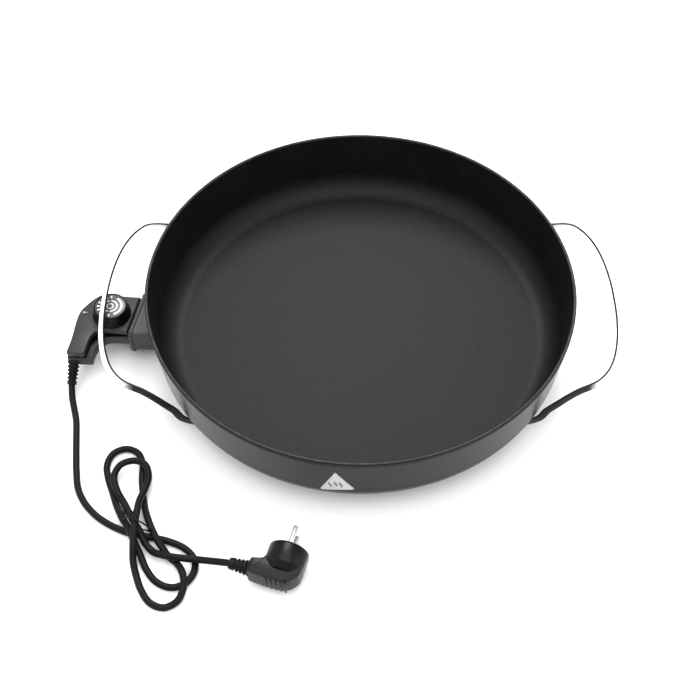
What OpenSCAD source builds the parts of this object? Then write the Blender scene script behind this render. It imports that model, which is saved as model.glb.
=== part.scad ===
// Round electric griddle: a cast pan on four feet, two bent strip handles and a
// plug-in thermostat with its lead. Millimetres, +Z up, feet on z = 0.

/* [Pan] */
// Diameter over the rim
pan_d = 400; // [340:5:480]
// Height of the rim above the table
rim_h = 88; // [74:1:106]
// Thickness of the pan's wall
pan_wall = 3; // [2.5:0.25:3.5]
// Thickness of the pan's floor
pan_floor = 5; // [5:0.5:6]
// How far the wall leans in before its corner starts
wall_lean = 4.5; // [3:0.5:6]
// Radius of the outside corner between wall and underside
corner_r = 24; // [20:1:28]

/* [Heating element] */
// Mean radius of the element's ring
ring_r = 115; // [95:1:122]
// Diameter of the element's tube
element_d = 8; // [6.5:0.5:8]
// Width of the cast ring that carries the element
ring_w = 16; // [14:1:20]

/* [Handles] */
// Height of the grip's upper edge above the table
grip_h = 62; // [60:1:74]
// Width of the handle strip
strip_w = 8; // [6.5:0.5:10]
// Thickness of the handle strip
strip_t = 2; // [1.6:0.2:2.4]
// Lean of the strip at the grip, in degrees
grip_lean = 42; // [30:1:50]

/* [Feet] */
// Diameter of a foot at the table
foot_d = 24; // [20:1:29]
// Angle of each foot from the handles' line, in degrees
foot_angle = 36; // [34:1:38]

/* [Controller] */
// Distance from the rim to the knob's axis
knob_out = 39; // [38:1:47]
// Height of the controller's flat top above the table
deck_z = 39; // [38:0.5:41]
// Diameter of the knob's skirt
skirt_d = 36.5; // [32:0.5:37]
// Height of the knob
knob_h = 12.5; // [10.5:0.5:13]
// Diameter of the probe rod
probe_d = 6; // [5:0.5:6]
// Length of the strain relief
boot_l = 24; // [20:1:30]

/* [Lead and plug] */
// Diameter of the lead
cord_d = 6.2; // [5.2:0.1:6.2]
// Diameter of the plug's head
plug_d = 36; // [35:0.5:38]
// Depth of the plug's head
plug_l = 19; // [16:0.5:22]
// Diameter of a plug pin
plug_pin_d = 4.8; // [4:0.1:4.8]
// Distance between the plug's pins
plug_pitch = 19; // [18:0.5:20]

/* [Hidden] */
$fn = 64;
fit = 0.1;                                   // running clearance on a radius
gap = 0.3;                                   // space between pieces that only lie close

pan_r = pan_d / 2;
pan_scale = pan_r / 200;
pan_lift = 16;                               // height of the pan's underside
wall_r = pan_r - wall_lean;                  // outside radius where the corner starts
corner_z = pan_lift + corner_r;
flat_r = wall_r - corner_r;                  // radius of the flat underside
floor_z = pan_lift + pan_floor;
inner_corner = corner_r - 2;
probe_z = 11;                                // height of the probe and the terminals
pin_y = 8.2;                                 // sideways distance from the probe to a terminal pin
sleeve_d = 7.6;
socket_d = 5.4;
boss_half = 16;                              // half width of the cast terminal boss
boss_end = -pan_r + 14;
boss_h = 3;                                  // height of the feet's bosses
plate_t = 3;
plate_z = pan_lift - boss_h - plate_t;
plate_top = plate_z + plate_t;
foot_r = flat_r - 25.5;
foot_x = foot_r * cos(foot_angle);
foot_y = foot_r * sin(foot_angle);
guard_x = -pan_r - 16;                       // outer face of the inlet guard
guard_half = 26;
guard_top = 40;
guard_t = 2;
guard_skew = 5;                              // the guard's front corner stands out by this much
knob_x = -pan_r - knob_out;
arm_x = guard_x - 1.5;                       // middle of the end of the controller's arm
arm_front = arm_x - 5 - knob_x;              // the arm's end is cut askew like the guard
arm_back = arm_x + 3.5 - knob_x;
nose_x = -pan_r - 4.5;
deck_t = 2;
seam_z = 31;
seam_gap = 2;
base_z = 20;
shell_t = 1.8;
strip_scale = strip_w / 8;

// Handle: the strip's upper edge as [x, y, z, bearing of its face, lean], front half
front_rows = [[145, -105.5, 14.5, -83, 4], [151, -109, 18.5, -83, 4], [160.3, -111.7, 28.5, -83, 5],
    [166, -110.8, 39, -83, 5], [176, -108.5, 47.5, -80, 5], [186, -105, 53.5, -76, 5],
    [196, -101.5, 58, -74, 6], [205, -99, 61, -71, 8], [213, -95.5, 62.6, -60, 14],
    [220, -89, 62.5, -47, 22], [226, -80.5, 62.1, -35, 30], [231, -69.5, 62, -24, 36],
    [235, -56, 62, -15, 40], [238, -40, 62, -9, 42], [240, -20, 62, -4, 42]];
function placed(r) = [r[0] * pan_scale, r[1] * pan_scale,
    r[2] > 30 ? 29 + (r[2] - 29) * (grip_h - 29) / 33 : r[2], r[3], r[4] * grip_lean / 42];
half_rows = [for (r = front_rows) placed(r)];
grip_row = [240.5 * pan_scale, 0, grip_h, 0, grip_lean];
strip_rows = concat(half_rows, [grip_row],
    [for (i = [len(half_rows) - 1:-1:0]) let (r = half_rows[i]) [r[0], -r[1], r[2], -r[3], r[4]]]);
handle_reach = grip_row[0] + strip_w * sin(grip_lean) + strip_t / 2 * cos(grip_lean);
controller_reach = 38.5 - knob_x;
pan_x = (controller_reach - handle_reach) / 2;    // puts the part in the middle of its frame

// Lead: hand-laid [x, y, z] measured from the knob's axis, z from the table
lead_y = 200 - pan_r;                        // keeps the hank clear of a wider pan
rest_z = cord_d / 2 + 0.1;
boot_at = [-33, -42, 25.2];
boot_dir = [-0.08, -0.83, -0.55] / norm([0.08, 0.83, 0.55]);
boot_tip = boot_at + (boot_l + 2) * boot_dir;
hank_rows = [[-33.8, -75, 6.4], [-30.8, -86, 4], [-27.2, -99, 3.2], [-24.6, -116, 3.2], [-22, -135, 3.2],
    [-19, -154, 3.2], [-15, -172, 3.2], [-7, -187, 3.2], [5, -200, 3.2], [20, -210, 3.2], [36, -217, 3.2],
    [54, -221, 3.2], [71, -225, 3.2], [86, -232, 3.2], [95.5, -243, 3.2], [95.5, -256, 3.2], [88, -266, 3.2],
    [76, -268.5, 3.2], [64, -263, 3.2], [55, -252, 3.2], [49, -240, 4.4], [43, -229, 8], [37, -217, 9.8],
    [29, -204, 7], [22, -190, 4], [16.5, -176, 3.2], [11, -162, 3.2], [8, -148.5, 3.2], [12, -136, 3.2],
    [23.5, -130.5, 3.2], [35, -135.5, 3.2], [40.5, -148, 3.2], [41.5, -163, 3.2], [44, -178, 3.2], [47, -191, 4.4],
    [51, -203, 7.6], [57, -217, 9.9], [64, -229, 8.4], [73, -240, 4], [80.5, -247, 5], [86.8, -257.5, 9.7],
    [89.3, -269.5, 9.7], [85, -281, 4.8], [73.5, -287, 3.2], [61, -282.5, 3.2], [52, -270, 3.2], [46, -255, 3.3],
    [43.5, -246, 6.8], [43, -236, 12], [43, -226, 15.8], [43, -214, 16.8], [43, -202, 15], [43.5, -189, 12],
    [46.5, -177, 10], [48.5, -164, 9.8], [44, -151.5, 9.8], [33, -147.2, 9.8], [21.5, -152, 9.8],
    [17.5, -164.5, 9.8], [22, -178.5, 9.6], [29.5, -190, 6.6], [37, -203, 5.6], [45.5, -217, 9.8],
    [51.5, -228, 7], [59, -236.5, 6.4], [69, -242, 10.2], [80, -244.5, 11.2], [92, -246, 11], [105, -248, 12.6]];
tie_rows = [[44, -203, 25.5], [41, -208.5, 23], [34, -209, 15.5], [30, -208.5, 9], [33, -209.5, 4.8],
    [42, -212, 3.6], [53.5, -216, 4.8], [58.5, -219.5, 8.6], [57, -219, 14], [49, -216, 20.6],
    [40, -212, 21], [33, -207.5, 23.5], [28, -202, 25]];
plug_turn = -16.7;
plug_z = plug_d / 2 + 0.2;
plug_x = 178.3;                              // centre of the plug's face, from the knob's axis
plug_y = -241.5;
plug_bend = -26;                             // the boot's line, behind the plug's face
plug_neck = 27;
plug_tail = 45;
tail_x = plug_x - plug_bend * sin(plug_turn) - plug_tail * cos(plug_turn);
tail_y = plug_y + plug_bend * cos(plug_turn) - plug_tail * sin(plug_turn);
lead_rows = concat([[boot_tip[0], boot_tip[1], boot_tip[2]]], hank_rows, [[tail_x, tail_y, plug_z]]);
function laid(r) = [knob_x + r[0], r[1] + (r[1] < -90 ? lead_y : 0), max(r[2], rest_z)];
lead_path = [for (r = lead_rows) laid(r)];

// Sweeps: a round tube along points, and the flat strip along rows
function unit(v) = v / norm(v);
function along(p, i) = unit(p[min(i + 1, len(p) - 1)] - p[max(i - 1, 0)]);
function ring(c, t, r, n) = let (s = unit(cross(t, [0, 0, 1])), u = cross(s, t))
    [for (k = [0:n - 1]) c + r * (cos(k * 360 / n) * s + sin(k * 360 / n) * u)];
module tube(path, d, n = 10) {
    last = len(path) - 1;
    points = [for (i = [0:last]) each ring(path[i], along(path, i), d / 2, n)];
    sides = [for (i = [0:last - 1], k = [0:n - 1]) let (m = (k + 1) % n)
        [i * n + k, i * n + m, (i + 1) * n + m, (i + 1) * n + k]];
    polyhedron(points, concat(sides, [[for (k = [n - 1:-1:0]) k]],
        [[for (k = [0:n - 1]) last * n + k]]));
}
// Width, thickness and position of the strip's four edges at one row
function edges(i) = let (r = strip_rows[i], p = [r[0], r[1], r[2]],
    a = strip_rows[max(i - 1, 0)], b = strip_rows[min(i + 1, len(strip_rows) - 1)],
    t = unit([b[0] - a[0], b[1] - a[1], b[2] - a[2]]),
    f = [cos(r[3]) * cos(r[4]), sin(r[3]) * cos(r[4]), sin(r[4])],
    n = unit(f - (f * t) * t), w = cross(t, n))
    [p + n * strip_t / 2, p - n * strip_t / 2,
    p - n * strip_t / 2 + w * strip_w, p + n * strip_t / 2 + w * strip_w];
module strip() {
    last = len(strip_rows) - 1;
    points = [for (i = [0:last]) each edges(i)];
    sides = [for (i = [0:last - 1], k = [0:3]) let (m = (k + 1) % 4)
        [i * 4 + k, i * 4 + m, (i + 1) * 4 + m, (i + 1) * 4 + k]];
    polyhedron(points, concat(sides, [[3, 2, 1, 0]], [[for (k = [0:3]) last * 4 + k]]));
}
module bar(a, b, d) {
    v = b - a;
    translate(a) rotate([0, acos(v[2] / norm(v)), atan2(v[1], v[0])]) cylinder(d = d, h = norm(v), $fn = 24);
}
module centred(x = 0) translate([pan_x + x, 0, 0]) children();
module x_rod(x0, x1, y, z, d) translate([x0, y, z]) rotate([0, 90, 0]) cylinder(d = d, h = x1 - x0);
module x_box(x0, x1, half, z0, z1) translate([x0, -half, z0]) cube([x1 - x0, 2 * half, z1 - z0]);
module at_feet() for (sx = [-1, 1], sy = [-1, 1]) translate([sx * foot_x, sy * foot_y, 0]) children();

// Pan profiles
outer_arc = [for (a = [-90:10:0]) [flat_r + corner_r * cos(a), corner_z + corner_r * sin(a)]];
rim_arc = [for (a = [0:30:180]) [pan_r - pan_wall / 2 + pan_wall / 2 * cos(a),
    rim_h - pan_wall / 2 + pan_wall / 2 * sin(a)]];
inner_z = floor_z + inner_corner;
inner_top_r = pan_r - pan_wall - wall_lean * (rim_h - inner_z) / (rim_h - corner_z);
inner_arc = [for (a = [0:-10:-90]) [inner_top_r - inner_corner + inner_corner * cos(a),
    inner_z + inner_corner * sin(a)]];
module pan_outside() rotate_extrude($fn = 160)
    polygon(concat([[0, pan_lift]], outer_arc, [for (p = rim_arc) if (p[1] < rim_h + 1) p], [[0, rim_h - 2]]));
module pan_inside() rotate_extrude($fn = 160)
    polygon(concat([[0, rim_h + 2], [pan_r - pan_wall - 0.02, rim_h + 2], rim_arc[6]], inner_arc, [[0, floor_z]]));

module pan_shell() color("#2b2b2d") centred() difference() {
    union() {
        pan_outside();
        rotate_extrude($fn = 128) translate([ring_r - ring_w / 2, 5]) square([ring_w, pan_lift - 4]);
        x_box(boss_end, -ring_r, boss_half, 5, 26);
        at_feet() translate([0, 0, plate_top]) cylinder(d = 20, h = boss_h + 1);
    }
    pan_inside();
    x_rod(boss_end - 1, boss_end + 58, 0, probe_z, sleeve_d);
    rotate_extrude($fn = 128) translate([ring_r, probe_z]) circle(d = element_d, $fn = 32);
    for (s = [-1, 1]) x_rod(boss_end - 1, -ring_r, s * pin_y, probe_z, element_d);
    for (s = [-1, 1]) x_rod(boss_end - 1, boss_end + 9, s * 11, 19, 3.5);
    x_box(boss_end - 1, boss_end + 4, 3.15, 18.6, 19.4);
    at_feet() translate([0, 0, plate_top - 1]) cylinder(d = 4, h = 7.5);
}
module heating_element() color("#8d8f90") centred() difference() {
    union() {
        difference() {
            rotate_extrude($fn = 128) translate([ring_r, probe_z]) circle(d = element_d, $fn = 32);
            translate([-ring_r - 12, -pin_y, 0]) cube([24, 2 * pin_y, 30]);
        }
        for (s = [-1, 1]) x_rod(boss_end - 2, -ring_r + 1.2, s * pin_y, probe_z, element_d);
    }
    for (s = [-1, 1]) x_rod(boss_end - 3, boss_end + 9, s * pin_y, probe_z, 5.6);
}
module terminal_seals() color("#b9b2a4") centred() for (s = [-1, 1]) difference() {
    union() {
        x_rod(boss_end - 2, boss_end + 9, s * pin_y, probe_z, 5.6);
        x_rod(boss_end - 3.5, boss_end - 2, s * pin_y, probe_z, 7.4);
    }
    x_rod(boss_end - 4, boss_end + 10, s * pin_y, probe_z, 4);
}
module terminal_pins() color("#c9cacb") centred() for (s = [-1, 1]) {
    x_rod(guard_x + 1, boss_end + 9, s * pin_y, probe_z, 4);
    translate([guard_x + 1, s * pin_y, probe_z]) rotate([0, -90, 0]) cylinder(d1 = 4, d2 = 2.4, h = 1);
}
module earth_blade() color("#c9cacb") centred() x_box(boss_end - 14, boss_end + 4, 3.15, 18.6, 19.4);
module probe_sleeve() color("#9fa1a2") centred() difference() {
    x_rod(boss_end - 3, boss_end + 58, 0, probe_z, sleeve_d);
    x_rod(boss_end - 4, boss_end + 56, 0, probe_z, probe_d + 2 * fit);
}
// A block whose outer end runs askew with the guard's face, drawn out by some millimetres
module skew_box(out, x1, half, z0, z1) translate([0, 0, z0]) linear_extrude(z1 - z0)
    polygon([[skew_at(-half) - out, -half], [x1, -half], [x1, half], [skew_at(half) - out, half]]);
function skew_at(y) = guard_x + y * guard_skew / guard_half;
rib_out = 1.2;                               // the bead round the guard's mouth stands out by this much
rib_w = 4.2;
rib_half = guard_half + rib_out;
module inlet_guard() color("#5c5d5f") centred() difference() {
    union() {
        skew_box(0, boss_end + 8, guard_half, 12, guard_top);
        translate([0, 0, 12]) linear_extrude(guard_top + rib_out - 12)
            polygon([[skew_at(-rib_half) - 0.8, -rib_half], [skew_at(-rib_half) + rib_w, -rib_half],
            [skew_at(rib_half) + rib_w, rib_half], [skew_at(rib_half) - 0.8, rib_half]]);
    }
    skew_box(6, boss_end - 2, guard_half - guard_t, 0, guard_top - guard_t);
    x_box(boss_end, boss_end + 9, guard_half - guard_t, 0, guard_top - guard_t);
    pan_outside();
    x_box(boss_end, boss_end + 9, boss_half, 0, 26);
    for (s = [-1, 1]) translate([guard_x - 12, s * (guard_half + 4), 2]) rotate([45, 0, 0])
        translate([0, -7, -7]) cube([50, 14, 14]);
    x_rod(boss_end - 3, boss_end + 1, 0, probe_z, sleeve_d + 2 * gap);
    for (s = [-1, 1]) x_rod(boss_end - 3, boss_end + 1, s * pin_y, probe_z, element_d + 2 * gap);
    for (s = [-1, 1]) x_rod(boss_end - 3, boss_end + 1, s * 11, 19, 3.7);
    x_box(boss_end - 3, boss_end + 1, 4, 17.8, 20.2);
}
module guard_screws() color("#b5b7b8") centred() for (s = [-1, 1]) {
    x_rod(boss_end - 2, boss_end + 9, s * 11, 19, 3.5);
    difference() {
        x_rod(boss_end - 4, boss_end - 2, s * 11, 19, 6.5);
        translate([boss_end - 4.5, s * 11 - 0.4, 15]) cube([1.4, 0.8, 8]);
    }
}
module handle_left() color("#dfe1e3") centred() mirror([1, 0, 0]) strip();
module handle_right() color("#dfe1e3") centred() strip();
leg_x = 146.5 * pan_scale;
leg_y = 104.5 * pan_scale;
module handle_plates() color("#6b6d70") centred() for (sx = [-1, 1], sy = [-1, 1]) scale([sx, sy, 1]) difference() {
    side = [foot_y - leg_y, leg_x - foot_x] / norm([leg_x - foot_x, leg_y - foot_y]);
    translate([0, 0, plate_z]) union() {
        translate([foot_x, foot_y, 0]) cylinder(d = 20, h = plate_t);
        translate([leg_x, leg_y, 0]) cylinder(d = 12, h = plate_t);
        linear_extrude(plate_t) polygon([[foot_x, foot_y] + 9.8 * side, [leg_x, leg_y] + 5.9 * side,
            [leg_x, leg_y] - 5.9 * side, [foot_x, foot_y] - 9.8 * side]);
    }
    translate([foot_x, foot_y, 0]) cylinder(d = 4.3, h = 20);
}
module foot() difference() {
    cylinder(d1 = foot_d, d2 = foot_d - 2, h = plate_z);
    translate([0, 0, -1]) cylinder(d = 4.3, h = 20);
    translate([0, 0, -1]) cylinder(d = 9.4, h = 5);
}
module foot_front_left() color("#1c1c1d") centred() translate([-foot_x, -foot_y, 0]) foot();
module foot_front_right() color("#1c1c1d") centred() translate([foot_x, -foot_y, 0]) foot();
module foot_back_left() color("#1c1c1d") centred() translate([-foot_x, foot_y, 0]) foot();
module foot_back_right() color("#1c1c1d") centred() translate([foot_x, foot_y, 0]) foot();
module foot_screws() color("#b5b7b8") centred() at_feet() {
    translate([0, 0, 4]) cylinder(d = 4, h = 15);
    difference() {
        translate([0, 0, 1.4]) cylinder(d = 8.4, h = 2.6);
        translate([-5, -0.5, 1]) cube([10, 1, 1.6]);
    }
}
badge_top = 75;
badge_r = wall_r + 1.2 + wall_lean * (badge_top - corner_z) / (rim_h - corner_z);
badge_low = [for (a = [-24:8:-8]) [flat_r + corner_r * cos(a) + 1.2, corner_z + corner_r * sin(a)]];
module wall_badge() color("#c4c6c8") centred() intersection() {
    difference() {
        rotate_extrude($fn = 160) polygon(concat([[0, badge_top], [0, badge_low[0][1]]], badge_low,
            [[wall_r + 1.2, corner_z], [badge_r, badge_top]]));
        pan_outside();
    }
    translate([0, -pan_r + 30, 0]) rotate([90, 0, 0]) linear_extrude(60)
        polygon([[-35.5, 37.5], [-6, 42.5], [-5, 44.5], [-20.8, 73.5], [-23.6, 73.5], [-36.5, 39.5]]);
}

// Controller shells, outlines from the knob's axis
top_outline = [[arm_back, 21.5], [9, 22.5], [-10, 27], [-19, 21], [-25, 14], [-32, 4], [-34, -10],
    [-35, -29], [-38, -46.5], [-21, -47.5], [-17.5, -26], [-12, -19.5], [-4, -19], [arm_front, -21]];
base_outline = [[arm_back, 22.5], [9, 23.5], [-10, 28], [-19, 22], [-25.5, 14.5], [-32.5, 4.5],
    [-34.5, -10], [-35.5, -29], [-38.5, -47], [-14.5, -48], [-13.5, -37], [-10.5, -29.5], [-6, -24.5],
    [-1, -22], [arm_front, -22.5]];
keel_outline = [[-19, 20.5], [-14.5, 11.5], [-9.5, 5], [9.5, 5], [14.5, 11.5], [19, 20.5]];
keel_space = [[-19.5, 26], [-19, 20.5], [-14.5, 11.5], [-9.5, 5], [9.5, 5], [14.5, 11.5], [19, 20.5], [19.5, 26]];
nose_outline = [[-19, 20], [-14.5, 11.5], [-9.5, 5], [9.5, 5], [14.5, 11.5], [19, 20], [19, 30], [-19, 30]];
module slab(outline, z0, z1) translate([knob_x, 0, z0]) linear_extrude(z1 - z0) polygon(outline);
module thin_slab(outline, by, z0, z1) translate([knob_x, 0, z0]) linear_extrude(z1 - z0)
    offset(delta = -by) polygon(outline);
module along_x(outline, x0, x1, by = 0) translate([x0, 0, 0]) rotate([90, 0, 90]) linear_extrude(x1 - x0)
    offset(delta = -by) polygon(outline);
screw_spots = [[-26, -8], [-10.5, 19.5]];
module at_screws() for (p = screw_spots) translate([knob_x + p[0], p[1], 0]) children();
module controller_top() color("#515356") centred() difference() {
    union() {
        difference() {
            slab(top_outline, seam_z + seam_gap, deck_z);
            thin_slab(top_outline, shell_t, seam_z, deck_z - deck_t);
        }
        at_screws() translate([0, 0, seam_z + gap]) cylinder(d = 6, h = deck_z - seam_z - 1);
    }
    at_screws() translate([0, 0, seam_z - 1]) cylinder(d = 3, h = 6);
    translate([knob_x, 0, 0]) cylinder(d = 6 + 2 * fit, h = 60);
}
module seam_band() color("#0c0c0d") centred() difference() {
    thin_slab(top_outline, 1, seam_z, seam_z + seam_gap);
    thin_slab(top_outline, 2.6, seam_z - 1, seam_z + seam_gap + 1);
}
module controller_base() color("#47494b") centred() difference() {
    union() {
        difference() {
            union() {
                slab(base_outline, base_z, seam_z);
                along_x(keel_outline, knob_x - 8, arm_x);
                along_x(nose_outline, arm_x - 6, nose_x);
            }
            thin_slab(base_outline, shell_t, base_z + shell_t, seam_z + 1);
            along_x(keel_space, knob_x - 8 + shell_t, arm_x + 1, shell_t);
            along_x(nose_outline, arm_x - 9, nose_x - 2, shell_t);
        }
        at_screws() translate([0, 0, base_z]) cylinder(d = 7, h = seam_z - base_z);
    }
    at_screws() translate([0, 0, base_z - 1]) cylinder(d = 3.4, h = 20);
    at_screws() translate([0, 0, base_z - 1]) cylinder(d = 6, h = 4);
    x_rod(nose_x - 4, nose_x + 1, 0, probe_z, probe_d);
    for (s = [-1, 1]) x_rod(nose_x - 4, nose_x + 1, s * pin_y, probe_z, 5);
    x_box(nose_x - 4, nose_x + 1, 3.8, 18, 20);
    translate([knob_x, 0, 0] + boot_at - 3 * boot_dir) rotate([0, acos(boot_dir[2]), atan2(boot_dir[1], boot_dir[0])])
        cylinder(d = 8, h = 40);
}
module pointer_mark() color("#e9e9e6") centred() translate([knob_x - 26, 2, deck_z]) linear_extrude(0.4)
    polygon([[-2.4, -1.4], [-2.4, 1.4], [2.6, 0]]);
module probe_rod() color("#c2c4c6") centred() {
    x_rod(knob_x - 3, boss_end + 52, 0, probe_z, probe_d);
    translate([boss_end + 52, 0, probe_z]) rotate([0, 90, 0]) cylinder(d1 = probe_d, d2 = probe_d - 2, h = 1.6);
}
module contact_sockets() color("#c8a24a") centred() for (s = [-1, 1]) difference() {
    x_rod(arm_x - 7, nose_x - 3, s * pin_y, probe_z, socket_d);
    x_rod(arm_x - 2, nose_x - 2, s * pin_y, probe_z, 4 + 2 * fit);
}
module contact_carrier() color("#d8d3c6") centred() difference() {
    along_x(keel_outline, arm_x - 10, arm_x + 3, shell_t + 0.5);
    x_box(arm_x - 11, arm_x + 4, 20, 16, 30);
    x_rod(arm_x - 11, arm_x + 4, 0, probe_z, probe_d);
    for (s = [-1, 1]) x_rod(arm_x - 7, arm_x + 4, s * pin_y, probe_z, socket_d);
}
module earth_clip() color("#c9cacb") centred() difference() {
    x_box(arm_x - 3, nose_x - 3, 3.15, 17.7, 20.3);
    x_box(arm_x - 2, nose_x - 2, 3.2, 18.5, 19.5);
}
module thermostat_frame() color("#a9abad") centred() difference() {
    union() {
        x_box(knob_x - 20, knob_x + 8, 9, 26, 28);
        x_box(knob_x - 20, knob_x - 18, 9, base_z + shell_t, 27);
        x_box(knob_x - 1, knob_x + 8, 19.2, 26, 28);
        for (s = [-1, 1]) translate([knob_x - 1, s * 18.4 - 0.8, base_z + shell_t]) cube([9, 1.6, 5]);
    }
    translate([knob_x, 0, 20]) cylinder(d = 6 + 2 * fit, h = 20);
}
module bimetal_blade() color("#b98d5a") centred() translate([knob_x - 18, -3, 22.6]) cube([24, 6, 0.8]);
module switch_contacts() color("#d2d3d4") centred() {
    translate([knob_x + 3, 0, 17]) cylinder(d = 3, h = 5.6);
    x_box(knob_x, arm_x - 4, 3, 16, 17);
}
module shell_screws() color("#b5b7b8") centred() at_screws() {
    translate([0, 0, base_z + 3]) cylinder(d = 3, h = 12);
    difference() {
        translate([0, 0, base_z + 1]) cylinder(d = 5.4, h = 2);
        translate([-3, -0.4, base_z]) cube([6, 0.8, 1.9]);
    }
}
module cord_clamp() color("#3a3a3c") centred() difference() {
    translate([knob_x - 33.5, -32, base_z + shell_t]) cube([12, 5, 8]);
    bar([knob_x - 28, -38, 26], [knob_x - 26, -20, 26], 5);
}
inner_rows = [[[-31.5, -39.6, 26.6], [-28.4, -33, 26], [-27.9, -26, 26], [-20, -19, 25], [-8, -15.2, 23.6],
    [-2, -14.8, 21.5], [8.5, -12, 15], [11.2, -8.6, 12.4]],
    [[-29.4, -39.2, 26.2], [-26.2, -33, 26], [-25.7, -26, 26], [-17, -14.5, 25], [-6, -12, 23.4], [4, -8, 20.8],
    [7.5, 0, 19], [9, 5.6, 16.5], [11.2, 8.6, 12.4]]];
module inner_leads() color("#7a4a2a") centred() for (rows = inner_rows)
    tube([for (r = rows) [knob_x + r[0], r[1], r[2]]], 1.8, 8);
module cord_boot() color("#161617") centred() translate([knob_x, 0, 0] + boot_at)
    rotate([0, acos(boot_dir[2]), atan2(boot_dir[1], boot_dir[0])]) difference() {
        union() {
            translate([0, 0, -2]) cylinder(d = 8, h = 6);
            cylinder(d1 = 11.6, d2 = 8.2, h = boot_l + 2);
            for (k = [0:4]) translate([0, 0, 7 + 3.6 * k]) cylinder(d = 12.6 - 0.6 * k, h = 2);
        }
        translate([0, 0, -3]) cylinder(d = 5, h = 3);
    }

// Knob
module knob() color("#1a1a1b") centred() translate([knob_x, 0, deck_z + gap + 0.1]) difference() {
    rotate_extrude($fn = 96) polygon([[0, 0.9], [skirt_d / 2 - 1.8, 0], [skirt_d / 2, 0], [skirt_d / 2, 0.8],
        [skirt_d / 2 - 1.6, 2.2], [skirt_d / 2 - 2.2, knob_h - 2], [skirt_d / 2 - 3, knob_h - 1], [0, knob_h - 1]]);
    translate([0, 0, -1]) cylinder(d = skirt_d - 8, h = knob_h - 2.5);
    translate([0, 0, knob_h - 2]) cylinder(d = skirt_d - 9.5, h = 3);
}
module dial_plate() color("#3b3c3e") centred() translate([knob_x, 0, deck_z + gap + 0.1 + knob_h - 2])
    cylinder(d = skirt_d - 9.5, h = 1.8);
module knob_spindle() color("#b0b2b3") centred() translate([knob_x, 0, 0]) {
    translate([0, 0, 23.6]) cylinder(d = 6, h = deck_z + gap + knob_h - 3.9 - 23.6);
    translate([0, 0, deck_z + gap + 1]) cylinder(d = skirt_d - 8, h = knob_h - 4.4);
}
module thermostat_cam() color("#d9d6cc") centred() translate([knob_x, 0.8, 23.9]) difference() {
    cylinder(d = 9.6, h = 1.7);
    translate([0, -0.8, -1]) cylinder(d = 6, h = 4);
}

// Lead, tie and plug
module cord() color("#141415") centred() tube(lead_path, cord_d);
module cord_tie() color("#0e0e0f") centred() tube([for (r = tie_rows) laid(r)], 1.6, 8);
module at_plug() centred() translate([knob_x + plug_x, plug_y + lead_y, plug_z]) rotate([0, 0, plug_turn]) children();
module y_rod(y0, y1, z, d, d2) translate([0, y0, z]) rotate([-90, 0, 0]) cylinder(d1 = d, d2 = d2, h = y1 - y0);
slab_outline = [[-17, -16], [17, -16], [16.5, -24], [11, -30.5], [4, -34], [-14, -34], [-27, -32], [-27, -20], [-17, -17]];
module plug_body() color("#1b1b1c") at_plug() difference() {
    union() {
        y_rod(-plug_l, -1, 0, plug_d, plug_d);
        y_rod(-1, 0, 0, plug_d, plug_d - 2);
        y_rod(-plug_l - 5, -plug_l, 0, plug_d - 8, plug_d - 1);
        translate([0, 0, -11]) linear_extrude(22) polygon(slab_outline);
        for (k = [0:4]) translate([-10 + 4 * k, -35, -9]) cube([1.6, 2, 18]);
    }
    for (s = [-1, 1]) y_rod(-5, 1, s * plug_pitch / 2, plug_pin_d, plug_pin_d);
    for (s = [-1, 1]) translate([s * (plug_d / 2 - 0.6) - 2, -plug_l + 3, -3.5]) cube([4, plug_l, 7]);
}
module plug_pins() color("#c9cbcd") at_plug() for (s = [-1, 1]) {
    y_rod(-5, 17.6, s * plug_pitch / 2, plug_pin_d, plug_pin_d);
    y_rod(17.6, 19, s * plug_pitch / 2, plug_pin_d, plug_pin_d - 2);
}
module plug_earth_clips() color("#c3b48a") at_plug() for (s = [-1, 1])
    translate([s * (plug_d / 2 - 1.8) - 0.8, -plug_l + 3.5, -2.8]) cube([1.6, plug_l - 5, 5.6]);
module plug_boot() color("#161617") at_plug() translate([-plug_neck, plug_bend, 0]) rotate([0, -90, 0]) union() {
    cylinder(d1 = 13.6, d2 = 8.4, h = plug_tail - plug_neck);
    for (k = [0:3]) translate([0, 0, 1.4 + 4 * k]) cylinder(d = 14.6 - 1.2 * k, h = 2.2);
}

pan_shell();
heating_element();
terminal_pins();
terminal_seals();
earth_blade();
probe_sleeve();
inlet_guard();
guard_screws();
handle_left();
handle_right();
handle_plates();
foot_front_left();
foot_front_right();
foot_back_left();
foot_back_right();
foot_screws();
wall_badge();
controller_top();
seam_band();
controller_base();
pointer_mark();
probe_rod();
contact_sockets();
contact_carrier();
earth_clip();
thermostat_frame();
bimetal_blade();
switch_contacts();
shell_screws();
cord_clamp();
inner_leads();
cord_boot();
knob();
dial_plate();
knob_spindle();
thermostat_cam();
cord();
cord_tie();
plug_body();
plug_boot();
plug_pins();
plug_earth_clips();
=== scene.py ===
import math

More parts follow.
